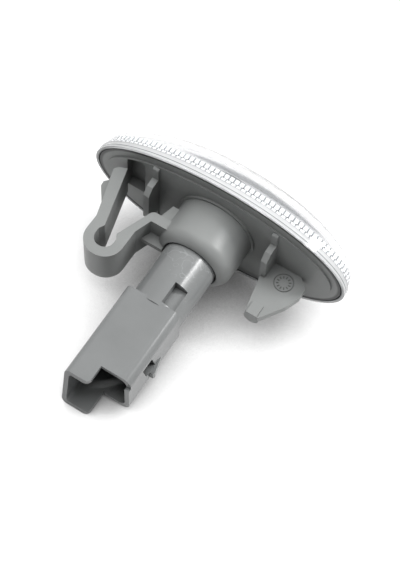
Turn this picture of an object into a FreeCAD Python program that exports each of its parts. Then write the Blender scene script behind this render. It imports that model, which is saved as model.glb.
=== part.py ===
import FreeCAD, Part
import math
import os
import re
import Sketcher

# Oval side repeater lamp, in its own fitted position and in millimetres.
# X runs along the oval, Z along its short side, Y points into the car body.
# Y = 0 is the back face of the flange, which seats on the panel round its hole.

doc = FreeCAD.newDocument("SideRepeater")
sheet = doc.addObject("Spreadsheet::Sheet", "Sizes")

sizes = [
    # oval flange and back plate of the housing
    ("flange_half_length", 47.0),
    ("flange_half_height", 22.9),
    ("flange_thickness", 2.6),
    ("band_width_ends", 3.4),
    ("band_width_sides", 3.8),
    ("floor_rise", 0.6),
    # lens
    ("rim_clearance", 0.05),
    ("bead_overhang", 1.5),
    ("bead_depth", 2.4),
    ("bead_step", 0.8),
    ("lens_wall", 2.2),
    ("lens_skirt", 4.2),
    ("dome_rise", 15.4),
    # bulb boss
    ("boss_radius", 13.7),
    ("boss_length", 17.6),
    ("boss_rounding", 4.2),
    ("boss_collar", 0.9),
    ("boss_collar_height", 0.8),
    ("bore_clearance", 0.15),
    ("bore_entry_depth", 0.8),
    ("bore_entry_width", 0.6),
    # spring clip
    ("clip_width", 14.6),
    ("clip_centre_z", 0.9),
    ("clip_thickness", 3.5),
    ("loop_centre_x", 26.05),
    ("loop_centre_y", 28.1),
    ("loop_radius", 7.05),
    ("neck_gap", 5.0),
    ("neck_y", 24.6),
    ("arm_y", 13.1),
    ("bend_x", 18.3),
    ("leg_foot_x", 36.1),
    ("leg_foot_y", 2.3),
    ("leg_foot_thickness", 3.9),
    ("catch_height", 1.6),
    ("catch_width", 10.0),
    ("catch_start_y", 8.1),
    ("catch_length", 8.0),
    ("web_thickness", 2.0),
    ("web_reach_y", 18.7),
    ("gusset_drop", 0.9),
    ("gusset_foot_y", 5.8),
    ("gusset_foot_width", 2.4),
    ("gusset_width", 4.2),
    # stepped locating ribs
    ("rib_thickness", 2.2),
    ("clip_rib_x", 23.7),
    ("hook_rib_x", -21.7),
    ("rib_half_span", 15.8),
    ("rib_low_height", 1.6),
    ("rib_step_z", 10.0),
    ("rib_end_rounding", 0.9),
    ("rib_shoulder_z", 9.6),
    ("rib_shoulder_height", 4.9),
    ("rib_top_z", 6.9),
    ("rib_height", 7.3),
    # pocket beside the clip
    ("pocket_left_x", 28.3),
    ("pocket_right_x", 35.4),
    ("pocket_edge", 0.3),
    ("pocket_bottom_z", -4.6),
    ("pocket_depth", 3.1),
    ("pocket_wall", 1.2),
    ("pocket_rounding", 1.6),
    # hook tongue
    ("tongue_top_z", -2.5),
    ("tongue_thickness", 2.6),
    ("tongue_root_x", -21.1),
    ("tongue_tip_x", -23.7),
    ("tongue_reach", 21.4),
    ("tongue_width_tip", 4.9),
    ("tongue_outer_x", -36.2),
    ("tongue_shoulder_y", 12.9),
    ("nose_diameter", 5.4),
    ("nose_length", 4.8),
    ("nose_flat", 0.6),
    ("date_ring_diameter", 7.0),
    ("date_ring_groove", 0.45),
    ("date_ring_depth", 0.35),
    ("date_ring_x", -29.1),
    ("date_ring_y", 5.6),
    # bulb holder and connector shroud
    ("holder_radius", 9.55),
    ("holder_front_y", 1.5),
    ("neck_radius", 7.6),
    ("neck_end_y", 5.0),
    ("seal_y", 8.2),
    ("seal_section", 1.8),
    ("seal_groove_depth", 1.5),
    ("shroud_start_y", 38.8),
    ("shroud_end_y", 77.3),
    ("shroud_end_slant", 3.2),
    ("shroud_plus_x", 10.3),
    ("shroud_minus_x", 9.7),
    ("shroud_half_height", 9.2),
    ("shroud_rounding", 3.2),
    ("shroud_rounding_plus", 2.2),
    ("shroud_wall", 1.7),
    ("socket_floor_y", 57.0),
    ("key_edge_x", 1.3),
    ("key_edge_low_x", 0.2),
    ("key_cut_y", 68.4),
    ("key_step", 1.2),
    ("key_step_z", 4.6),
    ("tongue_corner", 2.0),
    ("window_left_x", -2.3),
    ("window_right_x", -6.9),
    ("window_start_y", 29.8),
    ("window_end_y", 38.2),
    ("window_floor_z", 5.4),
    ("latch_start_y", 49.8),
    ("latch_crest_y", 55.6),
    ("latch_end_y", 56.4),
    ("latch_height", 1.5),
    ("latch_half_width", 1.7),
    ("latch_z", -4.2),
    ("latch_window_start_y", 55.2),
    ("latch_window_end_y", 60.4),
    ("latch_window_top_z", 5.2),
    ("latch_window_height", 7.4),
    ("latch_window_lean", 2.0),
    ("latch_window_depth", 3.0),
    # bulb
    ("base_width", 9.4),
    ("base_thickness", 2.4),
    ("base_end_y", 10.0),
    ("base_slot_clearance", 0.15),
    ("glass_radius", 4.9),
    ("glass_wall", 0.6),
    ("glass_tip_y", -12.4),
    ("glass_shoulder_y", 1.3),
    ("glass_neck_y", 3.4),
    ("lead_diameter", 0.5),
    ("lead_spacing", 6.0),
    ("filament_y", -5.5),
    ("filament_sag", 1.0),
    ("filament_diameter", 0.7),
    # terminals
    ("blade_width", 2.8),
    ("blade_thickness", 0.8),
    ("blade_spacing", 7.0),
    ("blade_tip_y", 63.5),
    ("blade_clearance", 0.05),
    ("joggle_y", 26.0),
    ("joggle_length", 5.0),
    # reflector
    ("reflector_radius", 19.5),
    ("reflector_bore", 8.6),
    ("reflector_depth", 5.2),
    ("reflector_wall", 1.2),
    ("reflector_foot", 11.5),
    ("reflector_curve", 8.0),
]
for row, (alias, size) in enumerate(sizes, start=1):
    sheet.set("A%d" % row, alias)
    sheet.set("B%d" % row, str(size))
    sheet.setAlias("B%d" % row, alias)
doc.recompute()

names = sorted((alias for alias, size in sizes), key=len, reverse=True)
alias_pattern = re.compile(r"\b(" + "|".join(names) + r")\b")


def formula(text):
    """Writes a formula in sheet names as an expression that any object of the document can hold."""
    return alias_pattern.sub(r"Sizes.\1", str(text))


def value(text):
    return float(sheet.evalExpression(formula(text)))


def new_body(name):
    body = doc.addObject("PartDesign::Body", name)
    body.Label = name
    body.Placement = FreeCAD.Placement()
    return body


def base_plane(body, role):
    for feature in body.Origin.OriginFeatures:
        if feature.Role == role:
            return feature
    raise ValueError("no plane " + role)


def new_sketch(body, name, role, height="0"):
    """A sketch on a base plane of the body, lifted along that plane's normal by a formula."""
    sketch = body.newObject("Sketcher::SketchObject", name)
    sketch.AttachmentSupport = [(base_plane(body, role), "")]
    sketch.MapMode = "FlatFace"
    sketch.setExpression("AttachmentOffset.Base.z", formula(height))
    return sketch


def bind(sketch, constraint, text):
    index = sketch.addConstraint(constraint)
    sketch.setExpression("Constraints[%d]" % index, formula(text))


def pin(sketch, geometry, vertex, across, up):
    bind(sketch, Sketcher.Constraint("DistanceX", -1, 1, geometry, vertex, value(across)), across)
    bind(sketch, Sketcher.Constraint("DistanceY", -1, 1, geometry, vertex, value(up)), up)


def flat(x, y):
    return FreeCAD.Vector(x, y, 0)


def corner_tangents(before, at, after, radius):
    """Where a rounding of this radius leaves the two edges of a corner, and its centre."""
    to_before = (before - at).normalize()
    to_after = (after - at).normalize()
    half = to_before.getAngle(to_after) / 2
    reach = radius / math.tan(half)
    centre = at + (to_before + to_after).normalize() * (radius / math.sin(half))
    return at + to_before * reach, at + to_after * reach, centre


def add_outline(sketch, corners):
    """A closed outline through corners (across, up) or (across, up, rounding), all formulas."""
    at = [flat(value(c[0]), value(c[1])) for c in corners]
    count = len(corners)
    leave = []
    arrive = []
    centres = []
    for i, corner in enumerate(corners):
        if len(corner) > 2:
            arriving, leaving, centre = corner_tangents(at[i - 1], at[i], at[(i + 1) % count], value(corner[2]))
        else:
            arriving, leaving, centre = at[i], at[i], None
        arrive.append(arriving)
        leave.append(leaving)
        centres.append(centre)
    lines = [sketch.addGeometry(Part.LineSegment(leave[i], arrive[(i + 1) % count])) for i in range(count)]
    for i, corner in enumerate(corners):
        before = lines[i - 1]
        after = lines[i]
        if centres[i] is None:
            sketch.addConstraint(Sketcher.Constraint("Coincident", before, 2, after, 1))
            pin(sketch, after, 1, corner[0], corner[1])
            continue
        middle = centres[i] + (at[i] - centres[i]).normalize() * value(corner[2])
        arc = sketch.addGeometry(Part.Arc(arrive[i], middle, leave[i]))
        starts_first = sketch.getPoint(arc, 1).isEqual(arrive[i], 1e-5)
        near = 1 if starts_first else 2
        sketch.addConstraint(Sketcher.Constraint("Tangent", before, 2, arc, near))
        sketch.addConstraint(Sketcher.Constraint("Tangent", arc, 3 - near, after, 1))
        bind(sketch, Sketcher.Constraint("Radius", arc, value(corner[2])), corner[2])
        sharp = sketch.addGeometry(Part.Point(at[i]), True)
        pin(sketch, sharp, 1, corner[0], corner[1])
        sketch.addConstraint(Sketcher.Constraint("PointOnObject", sharp, 1, before))
        sketch.addConstraint(Sketcher.Constraint("PointOnObject", sharp, 1, after))


def add_circle(sketch, across, up, radius):
    centre = flat(value(across), value(up))
    circle = sketch.addGeometry(Part.Circle(centre, FreeCAD.Vector(0, 0, 1), value(radius)))
    pin(sketch, circle, 3, across, up)
    bind(sketch, Sketcher.Constraint("Radius", circle, value(radius)), radius)


def add_oval(sketch, half_length, half_height):
    """An ellipse about the origin of the sketch, its long axis across."""
    oval = sketch.addGeometry(Part.Ellipse(flat(value(half_length), 0), flat(0, value(half_height)), flat(0, 0)))
    sketch.exposeInternalGeometry(oval)
    sketch.addConstraint(Sketcher.Constraint("Coincident", oval, 3, -1, 1))
    sketch.addConstraint(Sketcher.Constraint("Horizontal", oval + 1))
    length = "2 * (" + half_length + ")"
    height = "2 * (" + half_height + ")"
    bind(sketch, Sketcher.Constraint("Distance", oval + 1, value(length)), length)
    bind(sketch, Sketcher.Constraint("Distance", oval + 2, value(height)), height)


def finish_feature(body, feature):
    """Recomputes a new feature and makes sure that it changed the solid."""
    doc.recompute()
    body.Tip = feature
    before = feature.BaseFeature.Shape.Volume if feature.BaseFeature else 0.0
    if abs(feature.Shape.Volume - before) < 1e-3:
        raise RuntimeError("nothing changed by " + feature.Name)
    return feature


def extrude(body, kind, sketch, length, reverse=False, both=False):
    """A pad or pocket of this sketch. Both spreads the length to the two sides of its plane."""
    feature = body.newObject("PartDesign::" + kind, sketch.Name + "_" + kind.lower())
    feature.Profile = sketch
    feature.setExpression("Length", formula(length))
    feature.Midplane = both
    feature.Reversed = reverse
    return finish_feature(body, feature)


def revolve(body, kind, sketch):
    """A revolution or groove about the lamp's Y axis, which is the upright axis of the sketch."""
    feature = body.newObject("PartDesign::" + kind, sketch.Name + "_" + kind.lower())
    feature.Profile = sketch
    feature.ReferenceAxis = (sketch, ["V_Axis"])
    feature.Angle = 360.0
    return finish_feature(body, feature)


def dome(body, kind, name, start_depth, half_length, rise, half_height):
    """Half an ellipsoid that bulges towards the front from a plane this far before the flange's back."""
    feature = body.newObject("PartDesign::" + kind, name)
    feature.AttachmentSupport = [(base_plane(body, "XZ_Plane"), "")]
    feature.MapMode = "FlatFace"
    feature.setExpression("AttachmentOffset.Base.z", formula(start_depth))
    feature.setExpression("Radius1", formula(rise))
    feature.setExpression("Radius2", formula(half_length))
    feature.setExpression("Radius3", formula(half_height))
    feature.Angle1 = 0.0
    feature.Angle2 = 90.0
    return finish_feature(body, feature)


def make_lens():
    """Clear cover: a bead round the flange, a straight skirt and a domed front, hollow inside."""
    body = new_body("lens")
    bead = new_sketch(body, "bead_outline", "XZ_Plane")
    add_oval(bead, "flange_half_length + bead_overhang", "flange_half_height + bead_overhang")
    extrude(body, "Pad", bead, "bead_depth")
    skirt = new_sketch(body, "skirt_outline", "XZ_Plane", "bead_depth")
    skirt_length = "flange_half_length + bead_overhang - bead_step"
    skirt_height = "flange_half_height + bead_overhang - bead_step"
    add_oval(skirt, skirt_length, skirt_height)
    extrude(body, "Pad", skirt, "lens_skirt - bead_depth")
    dome(body, "AdditiveEllipsoid", "dome_outside", "lens_skirt", skirt_length, "dome_rise", skirt_height)
    inner_length = skirt_length + " - lens_wall"
    inner_height = skirt_height + " - lens_wall"
    cavity = new_sketch(body, "cavity_outline", "XZ_Plane")
    add_oval(cavity, inner_length, inner_height)
    extrude(body, "Pocket", cavity, "lens_skirt", reverse=True)
    dome(body, "SubtractiveEllipsoid", "dome_inside", "lens_skirt", inner_length,
         "dome_rise - lens_wall", inner_height)
    seat = new_sketch(body, "seat_outline", "XZ_Plane")
    add_oval(seat, "flange_half_length + rim_clearance", "flange_half_height + rim_clearance")
    extrude(body, "Pocket", seat, "flange_thickness", reverse=True)
    return body


def rib_profile(sketch):
    """One stepped locating rib seen from its side: low ends, a shoulder and a flat top."""
    add_outline(sketch, [
        ("-flange_thickness / 2", "-rib_half_span"),
        ("rib_low_height", "-rib_half_span", "rib_end_rounding"),
        ("rib_low_height", "-rib_step_z"),
        ("rib_shoulder_height", "-rib_shoulder_z"),
        ("rib_height", "-rib_top_z"),
        ("rib_height", "rib_top_z"),
        ("rib_shoulder_height", "rib_shoulder_z"),
        ("rib_low_height", "rib_step_z"),
        ("rib_low_height", "rib_half_span", "rib_end_rounding"),
        ("-flange_thickness / 2", "rib_half_span"),
    ])


def add_clip(body):
    """Spring clip: an arm from the boss, a keyhole loop and a free leg that carries the catch head."""
    outside = "loop_radius"
    inside = "(loop_radius - clip_thickness)"
    arm_outer = "arm_y + clip_thickness / 2"
    arm_inner = "arm_y - clip_thickness / 2"
    leg_outer = "leg_foot_x + leg_foot_thickness / 2"
    leg_inner = "leg_foot_x - leg_foot_thickness / 2"
    strap = new_sketch(body, "clip_strap", "XY_Plane", "clip_centre_z")
    add_outline(strap, [
        ("holder_radius + bore_clearance + 0.25", arm_inner),
        ("bend_x - clip_thickness * 0.05", arm_inner, "clip_thickness * 0.6"),
        ("loop_centre_x - neck_gap / 2", "neck_y + 0.4", "clip_thickness * 0.25"),
        ("loop_centre_x - " + inside, "neck_y + 2.2", "clip_thickness * 0.25"),
        ("loop_centre_x - " + inside, "loop_centre_y + " + inside, inside + " * 0.97"),
        ("loop_centre_x + " + inside, "loop_centre_y + " + inside, inside + " * 0.97"),
        ("loop_centre_x + " + inside, "neck_y + 1.8", "clip_thickness * 0.25"),
        ("loop_centre_x + neck_gap / 2", "neck_y - 0.2", "clip_thickness * 0.25"),
        (leg_inner, "leg_foot_y"),
        (leg_outer + " - 0.9", "leg_foot_y + 1.2"),
        (leg_outer, "leg_foot_y + 2.7", "0.8"),
        ("loop_centre_x + " + outside + " - 0.25", "neck_y - 1.8", "clip_thickness"),
        ("loop_centre_x + " + outside, "loop_centre_y + " + outside, outside + " * 0.95"),
        ("loop_centre_x - " + outside, "loop_centre_y + " + outside, outside + " * 0.95"),
        ("loop_centre_x - " + outside, "web_reach_y + 2.3", "clip_thickness * 0.5"),
        ("bend_x - clip_thickness * 0.45", arm_outer, "0.6"),
        ("holder_radius + bore_clearance + 0.25", arm_outer),
    ])
    extrude(body, "Pad", strap, "clip_width", both=True)
    catch = new_sketch(body, "catch_head", "XY_Plane", "clip_centre_z")
    add_outline(catch, [
        ("leg_foot_x - 0.4", "catch_start_y"),
        ("leg_foot_x + leg_foot_thickness / 2 - 0.5", "catch_start_y"),
        ("leg_foot_x + leg_foot_thickness / 2 - 0.7 + catch_height", "catch_start_y + 1.5"),
        ("leg_foot_x + leg_foot_thickness / 2 - 0.9 + catch_height", "catch_start_y + 3.4", "1.2"),
        ("leg_foot_x + leg_foot_thickness / 2 - 2.6", "catch_start_y + catch_length"),
        ("leg_foot_x - 1.6", "catch_start_y + catch_length - 1"),
    ])
    extrude(body, "Pad", catch, "catch_width", both=True)
    web = new_sketch(body, "clip_web", "XY_Plane")
    add_outline(web, [
        ("holder_radius + bore_clearance + 0.4", "arm_y"),
        ("bend_x - 0.4", "arm_y"),
        ("loop_centre_x - " + outside + " + 0.6", "web_reach_y"),
        ("holder_radius + bore_clearance + 0.4", "web_reach_y"),
    ])
    extrude(body, "Pad", web, "web_thickness", both=True)
    gusset = new_sketch(body, "clip_gusset", "XY_Plane", "clip_centre_z")
    add_outline(gusset, [
        ("boss_radius - 3.6", "gusset_foot_y"),
        ("boss_radius - 2.2 + gusset_foot_width", "gusset_foot_y"),
        ("boss_radius - 2.2 + gusset_width", "arm_y - clip_thickness / 4"),
        ("boss_radius - 3.6", "arm_y - clip_thickness / 4"),
    ])
    extrude(body, "Pad", gusset, "clip_width - 2 * gusset_drop", both=True)


def add_hook(body):
    """Hook tongue: a flat plate that narrows to a round nose, which goes behind the panel edge."""
    plate = new_sketch(body, "tongue_outline", "XY_Plane", "tongue_top_z - tongue_thickness")
    tip_outer = "tongue_tip_x - tongue_width_tip"
    add_outline(plate, [
        ("tongue_root_x", "-flange_thickness / 2"),
        ("tongue_root_x", "rib_height"),
        ("tongue_tip_x", "tongue_reach", "1.0"),
        (tip_outer, "tongue_reach", "1.0"),
        ("tongue_outer_x + 2.1", "tongue_shoulder_y", "3.0"),
        ("tongue_outer_x", "tongue_shoulder_y - 5.4", "2.0"),
        ("tongue_outer_x", "3.6", "1.0"),
        ("tongue_outer_x + 3.3", "floor_rise"),
        ("tongue_outer_x + 3.3", "-flange_thickness / 2"),
    ])
    extrude(body, "Pad", plate, "tongue_thickness")
    nose = new_sketch(body, "nose_section", "XZ_Plane", "-tongue_reach")
    centre_x = "tongue_tip_x - tongue_width_tip / 2"
    centre_z = "tongue_top_z + nose_flat - nose_diameter / 2"
    add_circle(nose, centre_x, centre_z, "nose_diameter / 2")
    extrude(body, "Pad", nose, "nose_length")
    pad = new_sketch(body, "nose_flat_outline", "XZ_Plane", "-tongue_reach")
    add_outline(pad, [
        (centre_x + " - nose_diameter * 0.36", "tongue_top_z - tongue_thickness / 2"),
        (centre_x + " + nose_diameter * 0.36", "tongue_top_z - tongue_thickness / 2"),
        (centre_x + " + nose_diameter * 0.36", "tongue_top_z + nose_flat"),
        (centre_x + " - nose_diameter * 0.36", "tongue_top_z + nose_flat"),
    ])
    extrude(body, "Pad", pad, "nose_length")
    ring = new_sketch(body, "date_ring", "XY_Plane", "tongue_top_z")
    add_circle(ring, "date_ring_x", "date_ring_y", "date_ring_diameter / 2")
    add_circle(ring, "date_ring_x", "date_ring_y", "date_ring_diameter / 2 - date_ring_groove")
    extrude(body, "Pocket", ring, "date_ring_depth")


def band_edge(across):
    """Height of the flange band's inner edge at this distance along the oval."""
    return ("(flange_half_height - band_width_sides) * sqrt(1 - (%s)^2 / "
            "(flange_half_length - band_width_ends)^2)" % across)


def make_housing():
    """Grey moulding: flange, raised back plate, boss, ribs, clip, hook tongue and pocket."""
    body = new_body("housing")
    flange = new_sketch(body, "flange_outline", "XZ_Plane")
    add_oval(flange, "flange_half_length", "flange_half_height")
    extrude(body, "Pad", flange, "flange_thickness")
    plate = new_sketch(body, "floor_outline", "XZ_Plane")
    add_oval(plate, "flange_half_length - band_width_ends", "flange_half_height - band_width_sides")
    extrude(body, "Pad", plate, "floor_rise", reverse=True)
    top_left = band_edge("pocket_left_x") + " - pocket_edge"
    top_right = band_edge("pocket_right_x") + " - pocket_edge"
    well = new_sketch(body, "well_outline", "XZ_Plane", "flange_thickness / 2")
    add_outline(well, [
        ("pocket_left_x - pocket_wall", "pocket_bottom_z - pocket_wall"),
        ("pocket_right_x + pocket_wall", "pocket_bottom_z - pocket_wall"),
        ("pocket_right_x + pocket_wall", top_right + " + pocket_wall", "pocket_rounding + pocket_wall"),
        ("pocket_left_x - pocket_wall", top_left + " + pocket_wall", "pocket_rounding + pocket_wall"),
    ])
    extrude(body, "Pad", well, "pocket_depth + pocket_wall - floor_rise - flange_thickness / 2")
    boss = new_sketch(body, "boss_profile", "XY_Plane")
    add_outline(boss, [
        ("0", "-flange_thickness / 2"),
        ("boss_radius + boss_collar", "-flange_thickness / 2"),
        ("boss_radius + boss_collar", "floor_rise + boss_collar_height"),
        ("boss_radius", "floor_rise + boss_collar_height"),
        ("boss_radius", "boss_length", "boss_rounding"),
        ("0", "boss_length"),
    ])
    revolve(body, "Revolution", boss)
    for name, centre in (("clip_rib", "clip_rib_x"), ("hook_rib", "hook_rib_x")):
        rib = new_sketch(body, name, "YZ_Plane", centre)
        rib_profile(rib)
        extrude(body, "Pad", rib, "rib_thickness", both=True)
    add_clip(body)
    add_hook(body)
    pocket = new_sketch(body, "pocket_outline", "XZ_Plane", "-floor_rise")
    add_outline(pocket, [
        ("pocket_left_x", "pocket_bottom_z"),
        ("pocket_right_x", "pocket_bottom_z"),
        ("pocket_right_x", top_right, "pocket_rounding"),
        ("pocket_left_x", top_left, "pocket_rounding"),
    ])
    extrude(body, "Pocket", pocket, "pocket_depth", reverse=True)
    bore = new_sketch(body, "bore_circle", "XZ_Plane", "-boss_length - 1")
    add_circle(bore, "0", "0", "holder_radius + bore_clearance")
    extrude(body, "Pocket", bore, "boss_length + flange_thickness + 2", reverse=True)
    entry = new_sketch(body, "bore_entry", "XY_Plane")
    add_outline(entry, [
        ("0", "boss_length - bore_entry_depth"),
        ("holder_radius + bore_clearance", "boss_length - bore_entry_depth"),
        ("holder_radius + bore_clearance + bore_entry_width", "boss_length"),
        ("holder_radius + bore_clearance + bore_entry_width", "boss_length + 1"),
        ("0", "boss_length + 1"),
    ])
    revolve(body, "Groove", entry)
    return body


def terminal_profile(sketch, grow, side):
    """A terminal from its side: the contact strip beside the bulb base, a joggle and the blade."""
    inner = "(base_thickness / 2 + base_slot_clearance)"
    near = "%d * (%s - %s)" % (side, inner, grow)
    far = "%d * (%s + blade_thickness + %s)" % (side, inner, grow)
    blade_near = "-%d * (blade_thickness / 2 + %s)" % (side, grow)
    blade_far = "%d * (blade_thickness / 2 + %s)" % (side, grow)
    add_outline(sketch, [
        ("neck_end_y - 1 - " + grow, near),
        ("joggle_y", near),
        ("joggle_y + joggle_length", blade_near),
        ("blade_tip_y + " + grow, blade_near),
        ("blade_tip_y + " + grow, blade_far),
        ("joggle_y + joggle_length", blade_far),
        ("joggle_y", far),
        ("neck_end_y - 1 - " + grow, far),
    ])


def make_bulb_holder():
    """Grey moulding: a round body for the bulb and the shroud that takes the two-way plug."""
    body = new_body("bulb_holder")
    barrel = new_sketch(body, "barrel_profile", "XY_Plane")
    add_outline(barrel, [
        ("0", "holder_front_y"),
        ("neck_radius", "holder_front_y"),
        ("neck_radius", "neck_end_y"),
        ("holder_radius", "neck_end_y"),
        ("holder_radius", "seal_y - seal_section / 2"),
        ("holder_radius - seal_groove_depth", "seal_y - seal_section / 2"),
        ("holder_radius - seal_groove_depth", "seal_y + seal_section / 2"),
        ("holder_radius", "seal_y + seal_section / 2"),
        ("holder_radius", "shroud_start_y + 1"),
        ("0", "shroud_start_y + 1"),
    ])
    revolve(body, "Revolution", barrel)
    shroud = new_sketch(body, "shroud_outline", "XZ_Plane", "-shroud_start_y")
    add_outline(shroud, [
        ("-shroud_minus_x", "-shroud_half_height", "shroud_rounding"),
        ("shroud_plus_x", "-shroud_half_height", "shroud_rounding_plus"),
        ("shroud_plus_x", "shroud_half_height", "shroud_rounding_plus"),
        ("-shroud_minus_x", "shroud_half_height", "shroud_rounding"),
    ])
    extrude(body, "Pad", shroud, "shroud_end_y - shroud_start_y", reverse=True)
    latch = new_sketch(body, "latch_ramp", "XY_Plane", "latch_z")
    add_outline(latch, [
        ("-shroud_minus_x + shroud_wall / 2", "latch_start_y"),
        ("-shroud_minus_x", "latch_start_y"),
        ("-shroud_minus_x - latch_height", "latch_crest_y"),
        ("-shroud_minus_x - latch_height * 0.8", "latch_end_y"),
        ("-shroud_minus_x + shroud_wall / 2", "latch_end_y"),
    ])
    extrude(body, "Pad", latch, "2 * latch_half_width", both=True)
    socket = new_sketch(body, "socket_outline", "XZ_Plane", "-shroud_end_y - 1")
    inner_minus = "shroud_rounding - shroud_wall / 2"
    inner_plus = "shroud_rounding_plus - shroud_wall / 2"
    add_outline(socket, [
        ("-shroud_minus_x + shroud_wall", "-shroud_half_height + shroud_wall", inner_minus),
        ("shroud_plus_x - shroud_wall", "-shroud_half_height + shroud_wall", inner_plus),
        ("shroud_plus_x - shroud_wall", "shroud_half_height - shroud_wall", inner_plus),
        ("-shroud_minus_x + shroud_wall", "shroud_half_height - shroud_wall", inner_minus),
    ])
    extrude(body, "Pocket", socket, "shroud_end_y + 1 - socket_floor_y", reverse=True)
    opening = new_sketch(body, "latch_window", "YZ_Plane", "-shroud_minus_x - 0.5")
    add_outline(opening, [
        ("latch_window_start_y", "latch_window_top_z"),
        ("latch_window_end_y", "latch_window_top_z"),
        ("latch_window_end_y - latch_window_lean", "latch_window_top_z - latch_window_height"),
        ("latch_window_start_y - latch_window_lean", "latch_window_top_z - latch_window_height"),
    ])
    extrude(body, "Pocket", opening, "latch_window_depth + 0.5", reverse=True)
    mouth = new_sketch(body, "mouth_slant", "YZ_Plane")
    add_outline(mouth, [
        ("shroud_end_y", "-shroud_half_height"),
        ("shroud_end_y + 2", "-shroud_half_height"),
        ("shroud_end_y + 2", "shroud_half_height + 2"),
        ("shroud_end_y - shroud_end_slant * (1 + 1 / shroud_half_height)", "shroud_half_height + 2"),
    ])
    extrude(body, "Pocket", mouth, "4 * shroud_plus_x", both=True)
    top_end = "shroud_end_y - shroud_end_slant * (1 - shroud_wall / shroud_half_height / 2)"
    for name, edge, end, above in (("key_cut_top", "key_edge_x", top_end, True),
                                   ("key_cut_low", "key_edge_low_x", "shroud_end_y", False)):
        key = new_sketch(body, name, "XY_Plane")
        add_outline(key, [
            ("-2 * shroud_minus_x", "key_cut_y"),
            (edge, "key_cut_y"),
            (edge, end, "tongue_corner"),
            (edge + " + tongue_corner * 1.01", end),
            (edge + " + tongue_corner * 1.01", "shroud_end_y + 2"),
            ("-2 * shroud_minus_x", "shroud_end_y + 2"),
        ])
        extrude(body, "Pocket", key, "2 * shroud_half_height", reverse=above)
    step = new_sketch(body, "key_step_cut", "XZ_Plane", "-key_cut_y - 1")
    add_outline(step, [
        ("-2 * shroud_minus_x", "key_step_z"),
        ("key_edge_x", "key_step_z"),
        ("key_edge_x", "2 * shroud_half_height"),
        ("-2 * shroud_minus_x", "2 * shroud_half_height"),
    ])
    extrude(body, "Pocket", step, "key_step + 1", reverse=True)
    window = new_sketch(body, "window_outline", "XY_Plane", "window_floor_z")
    add_outline(window, [
        ("window_right_x", "window_start_y"),
        ("window_left_x", "window_start_y"),
        ("window_left_x", "window_end_y"),
        ("window_right_x", "window_end_y"),
    ])
    extrude(body, "Pocket", window, "holder_radius", reverse=True)
    slot = new_sketch(body, "base_slot", "XZ_Plane", "-holder_front_y + 1")
    add_outline(slot, [
        ("-base_width / 2 - base_slot_clearance", "-base_thickness / 2 - base_slot_clearance"),
        ("base_width / 2 + base_slot_clearance", "-base_thickness / 2 - base_slot_clearance"),
        ("base_width / 2 + base_slot_clearance", "base_thickness / 2 + base_slot_clearance"),
        ("-base_width / 2 - base_slot_clearance", "base_thickness / 2 + base_slot_clearance"),
    ])
    extrude(body, "Pocket", slot, "base_end_y + base_slot_clearance - holder_front_y + 1")
    cup = new_sketch(body, "glass_seat", "XY_Plane")
    add_outline(cup, [
        ("0", "holder_front_y - 1"),
        ("glass_radius + base_slot_clearance", "holder_front_y - 1"),
        ("glass_radius + base_slot_clearance", "glass_neck_y + base_slot_clearance"),
        ("0", "glass_neck_y + base_slot_clearance"),
    ])
    revolve(body, "Groove", cup)
    for name, side in (("right_slot", 1), ("left_slot", -1)):
        channel = new_sketch(body, name, "YZ_Plane", "%d * blade_spacing / 2" % side)
        terminal_profile(channel, "blade_clearance", side)
        extrude(body, "Pocket", channel, "blade_width + 2 * blade_clearance", both=True)
    return body


def make_terminal(name, side):
    body = new_body(name)
    strip = new_sketch(body, name + "_profile", "YZ_Plane", "%d * blade_spacing / 2" % side)
    terminal_profile(strip, "0", side)
    extrude(body, "Pad", strip, "blade_width", both=True)
    return body


def make_seal():
    """Rubber ring in the holder's groove, squeezed to the width of the gap to the bore."""
    body = new_body("holder_seal")
    section = new_sketch(body, "seal_section_outline", "XY_Plane")
    inner = "holder_radius - seal_groove_depth"
    outer = "holder_radius + bore_clearance"
    rounding = "(seal_groove_depth + bore_clearance) * 0.3"
    add_outline(section, [
        (inner, "seal_y - seal_section / 2", rounding),
        (outer, "seal_y - seal_section / 2", rounding),
        (outer, "seal_y + seal_section / 2", rounding),
        (inner, "seal_y + seal_section / 2", rounding),
    ])
    revolve(body, "Revolution", section)
    return body


def make_bulb_glass():
    """Capless bulb: a thin round envelope that is pinched flat into the wedge base."""
    body = new_body("bulb_glass")
    envelope = new_sketch(body, "envelope_profile", "XY_Plane")
    add_outline(envelope, [
        ("0", "glass_tip_y"),
        ("glass_radius", "glass_tip_y", "glass_radius * 0.96"),
        ("glass_radius", "glass_shoulder_y", "1.0"),
        ("glass_radius * 0.75", "glass_neck_y"),
        ("0", "glass_neck_y"),
    ])
    revolve(body, "Revolution", envelope)
    base = new_sketch(body, "wedge_outline", "XZ_Plane", "-glass_neck_y + 1")
    add_outline(base, [
        ("-base_width / 2", "-base_thickness / 2", "base_thickness / 4"),
        ("base_width / 2", "-base_thickness / 2", "base_thickness / 4"),
        ("base_width / 2", "base_thickness / 2", "base_thickness / 4"),
        ("-base_width / 2", "base_thickness / 2", "base_thickness / 4"),
    ])
    extrude(body, "Pad", base, "base_end_y - glass_neck_y + 1", reverse=True)
    hollow = new_sketch(body, "hollow_profile", "XY_Plane")
    add_outline(hollow, [
        ("0", "glass_tip_y + glass_wall"),
        ("glass_radius - glass_wall", "glass_tip_y + glass_wall", "(glass_radius - glass_wall) * 0.96"),
        ("glass_radius - glass_wall", "glass_shoulder_y - glass_wall", "1.0"),
        ("0", "glass_shoulder_y - glass_wall"),
    ])
    revolve(body, "Groove", hollow)
    return body


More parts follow.
